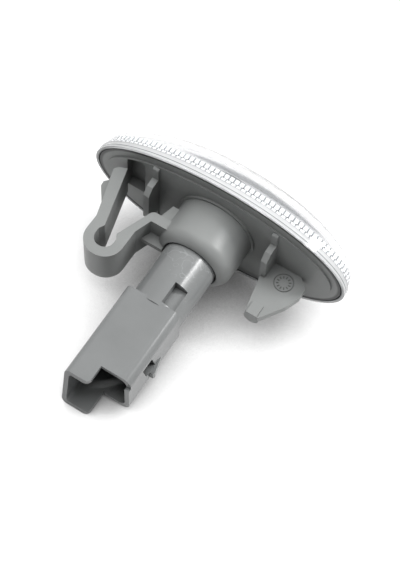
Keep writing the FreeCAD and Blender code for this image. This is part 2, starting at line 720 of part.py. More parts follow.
def make_lead(name, side):
    """Lead wire: it stands on the pinched glass and carries one end of the filament."""
    lead = doc.addObject("Part::Cylinder", name)
    lead.Label = name
    lead.setExpression("Radius", formula("lead_diameter / 2"))
    lead.setExpression("Height", formula("glass_shoulder_y - glass_wall - filament_y"))
    lead.Placement = FreeCAD.Placement(FreeCAD.Vector(), FreeCAD.Rotation(FreeCAD.Vector(1, 0, 0), -90))
    lead.setExpression("Placement.Base.x", formula("%d * lead_spacing / 2" % side))
    lead.setExpression("Placement.Base.y", formula("filament_y"))
    return lead


def make_filament():
    """Coiled filament between the two leads, as its fat outer tube bowed towards the front."""
    half = value("lead_spacing / 2 - lead_diameter * 0.9")
    depth = value("filament_y + lead_diameter")
    bow = Part.Arc(FreeCAD.Vector(-half, depth, 0),
                   FreeCAD.Vector(0, depth - value("filament_sag"), 0),
                   FreeCAD.Vector(half, depth, 0)).toShape()
    start = bow.tangentAt(bow.FirstParameter)
    ring = Part.Wire(Part.makeCircle(value("filament_diameter / 2"), FreeCAD.Vector(-half, depth, 0), start))
    filament = doc.addObject("Part::Feature", "bulb_filament")
    filament.Label = "bulb_filament"
    filament.Shape = Part.Wire([bow]).makePipeShell([ring], True, False)
    filament.Placement = FreeCAD.Placement()
    return filament


def make_reflector():
    """Metallised dish round the bulb, seated on the inside of the back plate."""
    body = new_body("reflector")
    back = "-flange_thickness"
    dish = new_sketch(body, "dish_profile", "XY_Plane")
    add_outline(dish, [
        ("reflector_bore", back),
        ("reflector_foot + reflector_wall", back, "reflector_curve"),
        ("reflector_radius", back + " - reflector_depth"),
        ("reflector_radius - reflector_wall", back + " - reflector_depth"),
        ("reflector_foot", back + " - reflector_wall", "reflector_curve"),
        ("reflector_bore", back + " - reflector_wall"),
    ])
    revolve(body, "Revolution", dish)
    return body


parts = [
    make_housing(),
    make_lens(),
    make_reflector(),
    make_bulb_holder(),
    make_seal(),
    make_terminal("terminal_right", 1),
    make_terminal("terminal_left", -1),
    make_bulb_glass(),
    make_lead("bulb_lead_right", 1),
    make_lead("bulb_lead_left", -1),
    make_filament(),
]
doc.recompute()

for item in doc.Objects:
    if "Invalid" in item.State or "Error" in item.State:
        raise RuntimeError("failed object: " + item.Name)
for part in parts:
    if part.Shape.isNull() or not part.Shape.isValid():
        raise RuntimeError("bad shape: " + part.Label)

os.makedirs("parts", exist_ok=True)
for part in parts:
    part.Shape.exportStep("parts/" + part.Label + ".step")
    box = part.Shape.BoundBox
    print("%-16s solids %d volume %9.1f  x %.1f..%.1f  y %.1f..%.1f  z %.1f..%.1f" % (
        part.Label, len(part.Shape.Solids), part.Shape.Volume,
        box.XMin, box.XMax, box.YMin, box.YMax, box.ZMin, box.ZMax))
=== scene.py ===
import math
import bmesh
import bpy
from mathutils import Matrix, Vector


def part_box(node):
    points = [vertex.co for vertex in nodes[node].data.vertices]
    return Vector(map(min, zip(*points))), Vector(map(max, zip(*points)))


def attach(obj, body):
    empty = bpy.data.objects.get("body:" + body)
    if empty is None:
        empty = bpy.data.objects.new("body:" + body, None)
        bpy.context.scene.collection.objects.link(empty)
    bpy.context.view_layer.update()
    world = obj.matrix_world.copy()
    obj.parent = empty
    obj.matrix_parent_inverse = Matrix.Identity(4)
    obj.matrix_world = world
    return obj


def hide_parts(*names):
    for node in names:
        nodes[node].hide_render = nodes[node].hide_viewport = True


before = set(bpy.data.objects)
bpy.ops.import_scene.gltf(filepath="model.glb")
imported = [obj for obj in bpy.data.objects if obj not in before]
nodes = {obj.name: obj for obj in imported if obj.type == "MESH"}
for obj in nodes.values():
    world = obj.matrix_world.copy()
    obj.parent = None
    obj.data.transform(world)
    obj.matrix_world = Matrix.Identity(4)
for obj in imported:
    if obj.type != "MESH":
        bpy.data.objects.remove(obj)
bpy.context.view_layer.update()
scene = bpy.context.scene
scene.view_settings.view_transform = "Standard"
print("lamp loaded with", len(nodes), "pieces")


# sRGB hex to the linear values that the shaders use
def linear(hexColour):
    channels = [int(hexColour[i:i + 2], 16) / 255 for i in (1, 3, 5)]
    return [c / 12.92 if c <= 0.04045 else ((c + 0.055) / 1.055) ** 2.4 for c in channels] + [1.0]


# adds one node: inputs holds plain values or the sockets to link, the rest are its own settings
def addNode(tree, kind, inputs=None, **settings):
    node = tree.nodes.new(kind)
    for name, setting in settings.items():
        setattr(node, name, setting)
    for name, given in (inputs or {}).items():
        if isinstance(given, bpy.types.NodeSocket):
            tree.links.new(given, node.inputs[name])
        else:
            node.inputs[name].default_value = given
    return node


# noise scale for features of this many millimetres
def perMillimetre(size):
    return 1000.0 / size


def newTree(name):
    material = bpy.data.materials.new(name)
    material.use_nodes = True
    material.node_tree.nodes.clear()
    return material, material.node_tree


# camera, fitted to the photograph's perspective
cameraView = {
    "place": (-0.1219, 0.2331, 0.4637),
    "right": (-0.8463, -0.5317, 0.0321),
    "forward": (0.2199, -0.4037, -0.8881),
    "lens": 101.3,
    "sensor": 36.0,
    "near": 0.01,
    "far": 20.0,
}


def makeCamera():
    right = Vector(cameraView["right"]).normalized()
    forward = Vector(cameraView["forward"]).normalized()
    up = right.cross(forward).normalized()
    forward = up.cross(right).normalized()
    data = bpy.data.cameras.new("photoCamera")
    data.lens = cameraView["lens"]
    data.sensor_width = cameraView["sensor"]
    data.clip_start = cameraView["near"]
    data.clip_end = cameraView["far"]
    camera = bpy.data.objects.new("photoCamera", data)
    turn = Matrix((right, up, -forward)).transposed()
    camera.matrix_world = Matrix.Translation(cameraView["place"]) @ turn.to_4x4()
    scene.collection.objects.link(camera)
    scene.camera = camera


makeCamera()
print("camera set")


# the table: the lamp lies on the lower edge of its lens and the lower edge of the connector
tableSizes = {
    "front": -0.34,
    "back": 0.2,
    "halfWidth": 0.36,
    "clearance": 0.0001,
    "mouthBand": 0.001,
    # strength, reach and falloff of the painted shadow in the table's glow
    "glow": 2.0,
    "hollow": 0.035,
    "fade": 2.0,
}


def restingPlane():
    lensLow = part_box("lens")[0].z
    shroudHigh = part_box("bulb_holder")[1]
    mouth = shroudHigh.y - tableSizes["mouthBand"]
    shroudLow = min(v.co.z for v in nodes["bulb_holder"].data.vertices if v.co.y > mouth)
    slope = (shroudLow - lensLow) / shroudHigh.y
    return lensLow, slope


tableLow, tableSlope = restingPlane()
tableUp = Vector((0, -tableSlope, 1)).normalized()


# 1 for rays from the camera, straight or by way of a mirroring or clear surface, 0 for the rest
def seenRay(tree):
    path = addNode(tree, "ShaderNodeLightPath")
    seen = addNode(tree, "ShaderNodeMath",
                   {0: path.outputs["Is Camera Ray"], 1: path.outputs["Is Glossy Ray"]}, operation="MAXIMUM")
    return addNode(tree, "ShaderNodeMath",
                   {0: seen.outputs[0], 1: path.outputs["Is Transmission Ray"]}, operation="MAXIMUM")


def makeTable():
    mesh = bpy.data.meshes.new("table")
    corners = []
    for x, y in ((-1, "front"), (1, "front"), (1, "back"), (-1, "back")):
        across = x * tableSizes["halfWidth"]
        along = tableSizes[y]
        corners.append((across, along, tableLow + tableSlope * along - tableSizes["clearance"]))
    mesh.from_pydata(corners, [], [(0, 1, 2, 3)])
    table = bpy.data.objects.new("table", mesh)
    scene.collection.objects.link(table)
    material, tree = newTree("white paper sweep")
    seen = seenRay(tree)
    # painted shadow: the table's even white glow dims by ambient occlusion close to the lamp
    hollow = addNode(tree, "ShaderNodeAmbientOcclusion", {"Distance": tableSizes["hollow"]}, samples=12)
    lift = addNode(tree, "ShaderNodeMath", {0: hollow.outputs["AO"], 1: tableSizes["fade"]},
                   operation="POWER")
    lift = addNode(tree, "ShaderNodeMath", {0: lift.outputs[0], 1: tableSizes["glow"]}, operation="MULTIPLY")
    lift = addNode(tree, "ShaderNodeMath", {0: lift.outputs[0], 1: 1.0}, operation="MINIMUM")
    lift = addNode(tree, "ShaderNodeMath", {0: lift.outputs[0], 1: seen.outputs[0]}, operation="MULTIPLY")
    shade = addNode(tree, "ShaderNodeMixRGB",
                    {"Fac": seen.outputs[0], "Color1": linear("#cccccc"), "Color2": linear("#6a6a6a")})
    paper = addNode(tree, "ShaderNodeBsdfDiffuse", {"Color": shade.outputs[0]})
    glow = addNode(tree, "ShaderNodeEmission", {"Strength": lift.outputs[0]})
    both = addNode(tree, "ShaderNodeAddShader", {0: paper.outputs[0], 1: glow.outputs[0]})
    addNode(tree, "ShaderNodeOutputMaterial", {"Surface": both.outputs[0]})
    mesh.materials.append(material)


makeTable()

# soft studio light: a large box overhead and a fill box on the clip side, both kept out of reflections,
# a long narrow strip on the hook side that alone draws the edge highlights, and low light all round
studio = {
    "ambient": 0.07,
    "aim": (0, 0.03, 0),
    "boxes": [
        {"name": "overheadBox", "towards": (0.05, 0.1, 1.0), "distance": 0.8,
         "wide": 0.6, "tall": 0.6, "watts": 5.2, "mirrored": False},
        {"name": "fillBox", "towards": (0.8, -0.25, 0.5), "distance": 0.7,
         "wide": 0.4, "tall": 0.4, "watts": 1.1, "mirrored": False},
        {"name": "edgeStrip", "towards": (-0.7, -0.36, 0.62), "distance": 0.7,
         "wide": 0.05, "tall": 0.3, "watts": 3.0, "mirrored": True},
    ],
}


def makeStudio():
    world = bpy.data.worlds.new("studio")
    scene.world = world
    world.use_nodes = True
    tree = world.node_tree
    tree.nodes.clear()
    seen = seenRay(tree)
    dim = addNode(tree, "ShaderNodeBackground", {"Color": linear("#f4f7fa"), "Strength": studio["ambient"]})
    white = addNode(tree, "ShaderNodeBackground", {"Color": linear("#ffffff"), "Strength": 1.0})
    pick = addNode(tree, "ShaderNodeMixShader", {0: seen.outputs[0], 1: dim.outputs[0], 2: white.outputs[0]})
    addNode(tree, "ShaderNodeOutputWorld", {"Surface": pick.outputs[0]})
    centre = Vector(studio["aim"])
    for box in studio["boxes"]:
        data = bpy.data.lights.new(box["name"], "AREA")
        data.shape = "RECTANGLE"
        data.size = box["wide"]
        data.size_y = box["tall"]
        data.energy = box["watts"]
        lamp = bpy.data.objects.new(box["name"], data)
        lamp.visible_glossy = box["mirrored"]
        away = Vector(box["towards"]).normalized()
        away = away + tableUp - Vector((0, 0, 1))
        away.normalize()
        lamp.matrix_world = Matrix.Translation(centre + away * box["distance"]) @ away.to_track_quat(
            "Z", "Y").to_matrix().to_4x4()
        scene.collection.objects.link(lamp)


makeStudio()
print("table and lights set")


# share of a surface beyond an oval about the Y axis: 0 at the first share of its radii, 1 at the second
def beyondOval(tree, place, radii, first, second):
    axes = addNode(tree, "ShaderNodeSeparateXYZ", {0: place})
    squares = []
    for axis, radius in zip("XZ", radii):
        share = addNode(tree, "ShaderNodeMath", {0: axes.outputs[axis], 1: radius}, operation="DIVIDE")
        squares.append(addNode(tree, "ShaderNodeMath", {0: share.outputs[0], 1: 2.0}, operation="POWER"))
    total = addNode(tree, "ShaderNodeMath", {0: squares[0].outputs[0], 1: squares[1].outputs[0]},
                    operation="ADD")
    return addNode(tree, "ShaderNodeMapRange",
                   {"Value": total.outputs[0], "From Min": first ** 2, "From Max": second ** 2}).outputs[0]


# the oval where the lens meets the flange
flangeHalf = (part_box("housing")[1].x, -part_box("housing")[0].z)


# marks and painted shade on moulded plastic: noise sizes in millimetres, the spans of each noise that show,
# where the marks lie on the lamp, and where the painted shade in corners and along the rim starts and how
# dark it is
plasticMarks = {
    "tone": 14,
    "toneSpan": (0.3, 0.7),
    "rub": 3.2,
    "rubSpan": (0.25, 0.75),
    "rubShare": (0.92, 1.08),
    "flow": 4.5,
    "flowTwist": 1.2,
    "flowLevel": 0.5,
    "flowWidth": 0.011,
    "patchSpan": (0.46, 0.56),
    "flowEnd": (0.032, 0.037),
    "cornerStart": 0.1,
    "rimSpan": (0.968, 0.985),
    "rimShade": 0.9,
    "grainStrength": 0.3,
    "grainDepth": 0.00001,
    "bend": 1.52,
}


# satin moulded plastic: spark-eroded grain, drawn coarser than the real one so that it shows, slow change
# of tone from the melt, patches of polish, thin flow lines, and painted shade in the corners and along the
# rim
def mouldedPlastic(name, light, dark, polish, grain, swirl, corners):
    material, tree = newTree(name)
    place = addNode(tree, "ShaderNodeTexCoord").outputs["Object"]
    tone = addNode(tree, "ShaderNodeTexNoise",
                   {"Vector": place, "Scale": perMillimetre(plasticMarks["tone"]), "Detail": 3.0})
    rubbed = addNode(tree, "ShaderNodeTexNoise",
                     {"Vector": place, "Scale": perMillimetre(plasticMarks["rub"]), "Detail": 5.0})
    sparks = addNode(tree, "ShaderNodeTexNoise",
                     {"Vector": place, "Scale": perMillimetre(grain), "Detail": 2.0})
    low, high = plasticMarks["toneSpan"]
    spread = addNode(tree, "ShaderNodeMapRange",
                     {"Value": tone.outputs[0], "From Min": low, "From Max": high})
    colour = addNode(tree, "ShaderNodeMixRGB",
                     {"Fac": spread.outputs[0], "Color1": linear(dark), "Color2": linear(light)})
    low, high = plasticMarks["rubSpan"]
    least, most = plasticMarks["rubShare"]
    rough = addNode(tree, "ShaderNodeMapRange",
                    {"Value": rubbed.outputs[0], "From Min": low, "From Max": high,
                     "To Min": polish * least, "To Max": polish * most})
    flow = addNode(tree, "ShaderNodeTexNoise",
                   {"Vector": place, "Scale": perMillimetre(plasticMarks["flow"]), "Detail": 1.0,
                    "Distortion": plasticMarks["flowTwist"]})
    curl = addNode(tree, "ShaderNodeMath",
                   {0: flow.outputs[0], 1: plasticMarks["flowLevel"], 2: plasticMarks["flowWidth"]},
                   operation="COMPARE")
    low, high = plasticMarks["patchSpan"]
    patch = addNode(tree, "ShaderNodeMapRange",
                    {"Value": tone.outputs[0], "From Min": low, "From Max": high, "To Max": swirl})
    line = addNode(tree, "ShaderNodeMath", {0: curl.outputs[0], 1: patch.outputs[0]}, operation="MULTIPLY")
    along = addNode(tree, "ShaderNodeSeparateXYZ", {0: place})
    low, high = plasticMarks["flowEnd"]
    fade = addNode(tree, "ShaderNodeMapRange",
                   {"Value": along.outputs["Y"], "From Min": low, "From Max": high,
                    "To Min": 1.0, "To Max": 0.0})
    line = addNode(tree, "ShaderNodeMath", {0: line.outputs[0], 1: fade.outputs[0]}, operation="MULTIPLY")
    colour = addNode(tree, "ShaderNodeMixRGB",
                     {"Fac": line.outputs[0], "Color1": colour.outputs[0], "Color2": linear("#c9cdcc")})
    # painted shade: the colour darkens towards near black where ambient occlusion finds corners, creases and
    # recesses
    corner = addNode(tree, "ShaderNodeAmbientOcclusion", {"Distance": corners["reach"]}, samples=8)
    paintedShade = addNode(tree, "ShaderNodeMapRange",
                   {"Value": corner.outputs["AO"], "From Min": plasticMarks["cornerStart"],
                    "From Max": corners["open"], "To Min": corners["shade"], "To Max": 0.0})
    # painted shadow: the housing darkens towards the edge of its flange, where the lens meets it
    rim = beyondOval(tree, place, flangeHalf, *plasticMarks["rimSpan"])
    rim = addNode(tree, "ShaderNodeMath", {0: rim, 1: plasticMarks["rimShade"]}, operation="MULTIPLY")
    paintedShade = addNode(tree, "ShaderNodeMath", {0: paintedShade.outputs[0], 1: rim.outputs[0]}, operation="MAXIMUM")
    colour = addNode(tree, "ShaderNodeMixRGB",
                     {"Fac": paintedShade.outputs[0], "Color1": colour.outputs[0], "Color2": linear("#1c1c1c")})
    bump = addNode(tree, "ShaderNodeBump",
                   {"Height": sparks.outputs[0], "Strength": plasticMarks["grainStrength"],
                    "Distance": plasticMarks["grainDepth"]})
    shader = addNode(tree, "ShaderNodeBsdfPrincipled",
                     {"Base Color": colour.outputs[0], "Roughness": rough.outputs[0],
                      "Normal": bump.outputs[0], "IOR": plasticMarks["bend"]})
    addNode(tree, "ShaderNodeOutputMaterial", {"Surface": shader.outputs[0]})
    return material


# injection moulded ABS, matt grey: soft broad highlights and a slightly uneven tone
housingGrey = mouldedPlastic("moulded ABS grey", "#959796", "#8e908f", 0.42, 0.35, 0.0,
                             {"reach": 0.012, "open": 0.75, "shade": 0.62})
# injection moulded glass-filled nylon, grey: tighter highlights along its round body
holderGrey = mouldedPlastic("moulded nylon grey", "#888a8a", "#818383", 0.23, 0.35, 0.18,
                            {"reach": 0.02, "open": 0.36, "shade": 0.95})
# the same ABS where the mould is left rough: almost no gloss, and darker as painted shade on the raised date
# ticks
tickShadeGrey = mouldedPlastic("rough moulded ABS grey", "#646665", "#5c5e5d", 0.7, 0.35, 0.0,
                           {"reach": 0.004, "open": 0.75, "shade": 0.5})


# any clear material: noise sizes in millimetres, and the depths between which its haze thickens
clearMarks = {
    "flow": 9,
    "flowDepth": 0.0001,
    "wipe": 5,
    "wipeRough": 0.05,
    "bend": 1.49,
    "hazeSpan": (-0.0034, -0.0026),
    "hazeFront": 0.15,
}

# painted shade drawn on the lens alone: lines along the bead as depth, half width and strength, the faint arc
# on the dome, and the dark painted shadow where the lens meets the flange
lensShade = {
    "lines": ((-0.0025, 0.0002, 0.85), (-0.0009, 0.0002, 0.85)),
    "lineCore": 0.4,
    "arcShade": 0.45,
    "arcShift": 0.009,
    "arcBend": -3.2,
    "arcFront": (-0.0094, -0.0082),
    "arcBack": (-0.0062, -0.0067),
    "gapShadowSpan": (1.018, 1.005),
    "gapShadowStart": -0.0004,
}


# draws the lens's painted shade over the shader of its body
def drawLensShade(tree, place, axes, body, marks):
    shadow = addNode(tree, "ShaderNodeBsdfDiffuse", {"Color": linear("#5d6163")})
    # painted shade: thin grey lines across the bead at two depths
    for at, width, strength in marks["lines"]:
        away = addNode(tree, "ShaderNodeMath", {0: axes.outputs["Y"], 1: at}, operation="SUBTRACT")
        away = addNode(tree, "ShaderNodeMath", {0: away.outputs[0]}, operation="ABSOLUTE")
        line = addNode(tree, "ShaderNodeMapRange",
                       {"Value": away.outputs[0], "From Min": width * marks["lineCore"], "From Max": width,
                        "To Min": strength, "To Max": 0.0})
        body = addNode(tree, "ShaderNodeMixShader",
                       {0: line.outputs[0], 1: body.outputs[0], 2: shadow.outputs[0]})
    # painted shade: a faint grey arc across the dome just in front of the prisms
    across = addNode(tree, "ShaderNodeMath", {0: axes.outputs["X"], 1: marks["arcShift"]}, operation="ADD")
    across = addNode(tree, "ShaderNodeMath", {0: across.outputs[0], 1: 2.0}, operation="POWER")
    bow = addNode(tree, "ShaderNodeMath", {0: across.outputs[0], 1: marks["arcBend"], 2: axes.outputs["Y"]},
                  operation="MULTIPLY_ADD")
    low, high = marks["arcFront"]
    front = addNode(tree, "ShaderNodeMapRange", {"Value": bow.outputs[0], "From Min": low, "From Max": high})
    low, high = marks["arcBack"]
    back = addNode(tree, "ShaderNodeMapRange", {"Value": axes.outputs["Y"], "From Min": low, "From Max": high,
                                                "To Max": marks["arcShade"]})
    arc = addNode(tree, "ShaderNodeMath", {0: front.outputs[0], 1: back.outputs[0]}, operation="MULTIPLY")
    body = addNode(tree, "ShaderNodeMixShader", {0: arc.outputs[0], 1: body.outputs[0], 2: shadow.outputs[0]})
    # painted shadow: near black on the rear of the lens where it meets the flange
    gapShadow = beyondOval(tree, place, flangeHalf, *marks["gapShadowSpan"])
    rear = addNode(tree, "ShaderNodeMath", {0: axes.outputs["Y"], 1: marks["gapShadowStart"]},
                   operation="GREATER_THAN")
    gapShadow = addNode(tree, "ShaderNodeMath", {0: gapShadow, 1: rear.outputs[0]}, operation="MULTIPLY")
    gap = addNode(tree, "ShaderNodeBsdfDiffuse", {"Color": linear("#1e2022")})
    return addNode(tree, "ShaderNodeMixShader", {0: gapShadow.outputs[0], 1: body.outputs[0], 2: gap.outputs[0]})


# clear and glossy, with faint ripples; painted shade is given for the lens and left out for the bulb glass
def clearMaterial(name, tint, ripple, milk, marks=None):
    material, tree = newTree(name)
    place = addNode(tree, "ShaderNodeTexCoord").outputs["Object"]
    flow = addNode(tree, "ShaderNodeTexNoise", {"Vector": place, "Scale": perMillimetre(clearMarks["flow"]),
                                                "Detail": 1.0})
    bump = addNode(tree, "ShaderNodeBump", {"Height": flow.outputs[0], "Strength": ripple,
                                            "Distance": clearMarks["flowDepth"]})
    wipe = addNode(tree, "ShaderNodeTexNoise", {"Vector": place, "Scale": perMillimetre(clearMarks["wipe"]),
                                                "Detail": 4.0})
    rough = addNode(tree, "ShaderNodeMapRange",
                    {"Value": wipe.outputs[0], "To Min": 0.0, "To Max": clearMarks["wipeRough"]})
    shader = addNode(tree, "ShaderNodeBsdfPrincipled",
                     {"Base Color": linear(tint), "Roughness": rough.outputs[0], "Normal": bump.outputs[0],
                      "IOR": clearMarks["bend"], "Transmission Weight": 1.0})
    haze = addNode(tree, "ShaderNodeBsdfDiffuse", {"Color": linear("#ffffff")})
    axes = addNode(tree, "ShaderNodeSeparateXYZ", {0: place})
    low, high = clearMarks["hazeSpan"]
    thick = addNode(tree, "ShaderNodeMapRange",
                    {"Value": axes.outputs["Y"], "From Min": low, "From Max": high,
                     "To Min": milk * clearMarks["hazeFront"], "To Max": milk})
    body = addNode(tree, "ShaderNodeMixShader",
                   {0: thick.outputs[0], 1: shader.outputs[0], 2: haze.outputs[0]})
    if marks:
        body = drawLensShade(tree, place, axes, body, marks)
    path = addNode(tree, "ShaderNodeLightPath")
    through = addNode(tree, "ShaderNodeBsdfTransparent", {"Color": linear("#f2f4f5")})
    pick = addNode(tree, "ShaderNodeMixShader",
                   {0: path.outputs["Is Shadow Ray"], 1: body.outputs[0], 2: through.outputs[0]})
    addNode(tree, "ShaderNodeOutputMaterial", {"Surface": pick.outputs[0]})
    return material


# clear moulded acrylic: bright edges, almost no colour, faint flow ripples from the mould
lensClear = clearMaterial("clear moulded acrylic", "#f8f8f9", 0.15, 0.42, lensShade)


dullMarks = {"haze": 0.8, "rough": 0.45, "clear": 0.3}


# dull hazy acrylic with little light coming through, its colour painted: shade on prism walls, reflection on
# prism faces
def dullAcrylic(name, light, dark):
    material, tree = newTree(name)
    place = addNode(tree, "ShaderNodeTexCoord").outputs["Object"]
    haze = addNode(tree, "ShaderNodeTexNoise", {"Vector": place, "Scale": perMillimetre(dullMarks["haze"]),
                                                "Detail": 3.0})
    colour = addNode(tree, "ShaderNodeMixRGB",
                     {"Fac": haze.outputs[0], "Color1": linear(dark), "Color2": linear(light)})
    shader = addNode(tree, "ShaderNodeBsdfPrincipled",
                     {"Base Color": colour.outputs[0], "Roughness": dullMarks["rough"],
                      "IOR": clearMarks["bend"], "Transmission Weight": dullMarks["clear"]})
    addNode(tree, "ShaderNodeOutputMaterial", {"Surface": shader.outputs[0]})
    return material


# the narrow side walls of the prisms: thin grey lines of painted shade in the clear rim
prismWallShade = dullAcrylic("dull moulded acrylic", "#a3a7a9", "#7d8184")
# the prisms themselves throw the light straight back: bright white blocks of painted reflection
prismFaceGlare = dullAcrylic("bright moulded acrylic", "#ffffff", "#f0f2f3")
# bulb glass under amber lacquer: deep orange where it is seen edge on
amberGlass = clearMaterial("amber lacquered glass", "#ffa022", 0.05, 0.0)


metalMarks = {"polishShare": (0.7, 1.3), "strength": 0.1, "depth": 0.00001}


# metals: colour, polish and the scale of the marks from how the surface was made
def metal(name, light, dark, polish, marks):
    material, tree = newTree(name)
    place = addNode(tree, "ShaderNodeTexCoord").outputs["Object"]
    stain = addNode(tree, "ShaderNodeTexNoise",
                    {"Vector": place, "Scale": perMillimetre(marks), "Detail": 4.0})
    colour = addNode(tree, "ShaderNodeMixRGB",
                     {"Fac": stain.outputs[0], "Color1": linear(dark), "Color2": linear(light)})
    least, most = metalMarks["polishShare"]
    rough = addNode(tree, "ShaderNodeMapRange",
                    {"Value": stain.outputs[0], "To Min": polish * least, "To Max": polish * most})
    bump = addNode(tree, "ShaderNodeBump", {"Height": stain.outputs[0], "Strength": metalMarks["strength"],
                                            "Distance": metalMarks["depth"]})
    shader = addNode(tree, "ShaderNodeBsdfPrincipled",
                     {"Base Color": colour.outputs[0], "Roughness": rough.outputs[0],
                      "Normal": bump.outputs[0], "Metallic": 1.0})
    addNode(tree, "ShaderNodeOutputMaterial", {"Surface": shader.outputs[0]})
    return material


# aluminium vapour on a smooth dish: mirror bright with a slight haze
reflectorBright = metal("vacuum metallised aluminium", "#f2f3f4", "#e3e5e7", 0.08, 6)
# tinned brass stamping: pale yellow grey, dull
terminalBrass = metal("tinned brass", "#d9cfae", "#c3b78f", 0.3, 1.5)
# drawn nickel wire: grey, fine lengthwise sheen
leadWire = metal("drawn nickel wire", "#b9b8b4", "#9e9c98", 0.25, 0.5)


rubberMarks = {"bloom": 1.2, "strength": 0.3, "depth": 0.00002, "rough": 0.72}


# moulded rubber ring: near black, dull, with a dusty bloom
def sealRubber():
    material, tree = newTree("moulded rubber")
    place = addNode(tree, "ShaderNodeTexCoord").outputs["Object"]
    bloom = addNode(tree, "ShaderNodeTexNoise",
                    {"Vector": place, "Scale": perMillimetre(rubberMarks["bloom"]), "Detail": 4.0})
    colour = addNode(tree, "ShaderNodeMixRGB",
                     {"Fac": bloom.outputs[0], "Color1": linear("#161616"), "Color2": linear("#262625")})
    bump = addNode(tree, "ShaderNodeBump", {"Height": bloom.outputs[0], "Strength": rubberMarks["strength"],
                                            "Distance": rubberMarks["depth"]})
    shader = addNode(tree, "ShaderNodeBsdfPrincipled",
                     {"Base Color": colour.outputs[0], "Roughness": rubberMarks["rough"],
                      "Normal": bump.outputs[0]})
    addNode(tree, "ShaderNodeOutputMaterial", {"Surface": shader.outputs[0]})
    return material


finishes = {
    "housing": housingGrey,
    "lens": lensClear,
    "reflector": reflectorBright,
    "bulb_holder": holderGrey,
    "holder_seal": sealRubber(),
    "terminal_right": terminalBrass,
    "terminal_left": terminalBrass,
    "bulb_glass": amberGlass,
    "bulb_lead_right": leadWire,
    "bulb_lead_left": leadWire,
    "bulb_filament": leadWire,
}
for name, finish in finishes.items():
    if not nodes[name].material_slots:
        nodes[name].data.materials.append(finish)
    for slot in nodes[name].material_slots:
        slot.material = finish
print("finishes given to", len(finishes), "pieces")


# a new node tree that makes geometry, with its named size inputs
def newShapeTree(name, inputs):
    tree = bpy.data.node_groups.new(name, "GeometryNodeTree")
    tree.interface.new_socket("Geometry", in_out="OUTPUT", socket_type="NodeSocketGeometry")
    keys = {}
    for label, kind in inputs.items():
        keys[label] = tree.interface.new_socket(label, in_out="INPUT", socket_type=kind).identifier
    return tree, keys, addNode(tree, "NodeGroupInput").outputs


# runs a node tree on an empty object and keeps the plain mesh
def growPiece(name, tree, keys, sizes):
    piece = bpy.data.objects.new(name, bpy.data.meshes.new(name))
    scene.collection.objects.link(piece)
    modifier = piece.modifiers.new("shape", "NODES")
    modifier.node_group = tree
    for label, size in sizes.items():
        modifier[keys[label]] = size
    bpy.context.view_layer.update()
    grown = bpy.data.meshes.new_from_object(piece.evaluated_get(bpy.context.evaluated_depsgraph_get()))
    piece.modifiers.remove(modifier)
    piece.data = grown
    return piece


# rows of small prisms round the inside of the lens rim, one tree for every row
prismRows = {
    "pitch": 0.00188,
    "ovalPoints": 400,
    "rows": [
        {"name": "rear", "depth": 0.00352, "rise": 0.0017},
        {"name": "front", "depth": 0.00545, "rise": 0.0015},
    ],
    "forms": [
        {"name": "lens_prisms_", "sides": 3, "width": 0.00085, "height": 0.0006, "shift": 0.0,
         "finish": prismFaceGlare},
        {"name": "lens_prism_walls_", "sides": 4, "width": 0.00045, "height": 0.0007, "shift": 0.00094,
         "finish": prismWallShade},
    ],
    "wall": 0.0022,
    "skirt": 0.0042,
    "domeRise": 0.0154,
    "beadStep": 0.0008,
}


def prismTree():
    tree, keys, sizes = newShapeTree("prismRow", {
        "Half length": "NodeSocketFloat", "Half height": "NodeSocketFloat", "Depth": "NodeSocketFloat",
        "Count": "NodeSocketInt", "Prism width": "NodeSocketFloat", "Prism height": "NodeSocketFloat",
        "Rise": "NodeSocketFloat", "Sides": "NodeSocketInt", "Shift": "NodeSocketVector",
        "Finish": "NodeSocketMaterial"})
    circle = addNode(tree, "GeometryNodeCurvePrimitiveCircle", {
        "Resolution": prismRows["ovalPoints"], "Radius": 1.0})
    oval = addNode(tree, "ShaderNodeCombineXYZ", {0: sizes["Half length"], 1: sizes["Half height"], 2: 1.0})
    stretched = addNode(tree, "GeometryNodeTransform",
                        {"Geometry": circle.outputs[0], "Scale": oval.outputs[0]})
    points = addNode(tree, "GeometryNodeCurveToPoints",
                     {"Curve": stretched.outputs[0], "Count": sizes["Count"]}, mode="COUNT")
    turn = addNode(tree, "FunctionNodeAlignRotationToVector", {"Vector": points.outputs["Tangent"]},
                   axis="Y", pivot_axis="Z")
    wedge = addNode(tree, "GeometryNodeMeshCylinder", {
        "Vertices": sizes["Sides"], "Radius": 1.0, "Depth": sizes["Rise"]})
    inward = addNode(tree, "ShaderNodeCombineXYZ",
                     {0: sizes["Prism height"], 1: sizes["Prism width"], 2: 1.0})
    prism = addNode(tree, "GeometryNodeTransform", {
        "Geometry": wedge.outputs["Mesh"], "Rotation": (0, 0, math.pi)})
    prism = addNode(tree, "GeometryNodeTransform", {
        "Geometry": prism.outputs[0], "Scale": inward.outputs[0], "Translation": sizes["Shift"]})
    row = addNode(tree, "GeometryNodeInstanceOnPoints", {
        "Points": points.outputs["Points"], "Instance": prism.outputs[0], "Rotation": turn.outputs[0]})
    solid = addNode(tree, "GeometryNodeRealizeInstances", {"Geometry": row.outputs[0]})
    down = addNode(tree, "ShaderNodeCombineXYZ", {2: sizes["Depth"]})
    sunk = addNode(tree, "GeometryNodeTransform",
                   {"Geometry": solid.outputs[0], "Translation": down.outputs[0]})
    stood = addNode(tree, "GeometryNodeTransform", {
        "Geometry": sunk.outputs[0], "Rotation": (math.pi / 2, 0, 0)})
    finish = addNode(tree, "GeometryNodeSetMaterial",
                     {"Geometry": stood.outputs[0], "Material": sizes["Finish"]})
    addNode(tree, "NodeGroupOutput", {"Geometry": finish.outputs[0]})
    return tree, keys


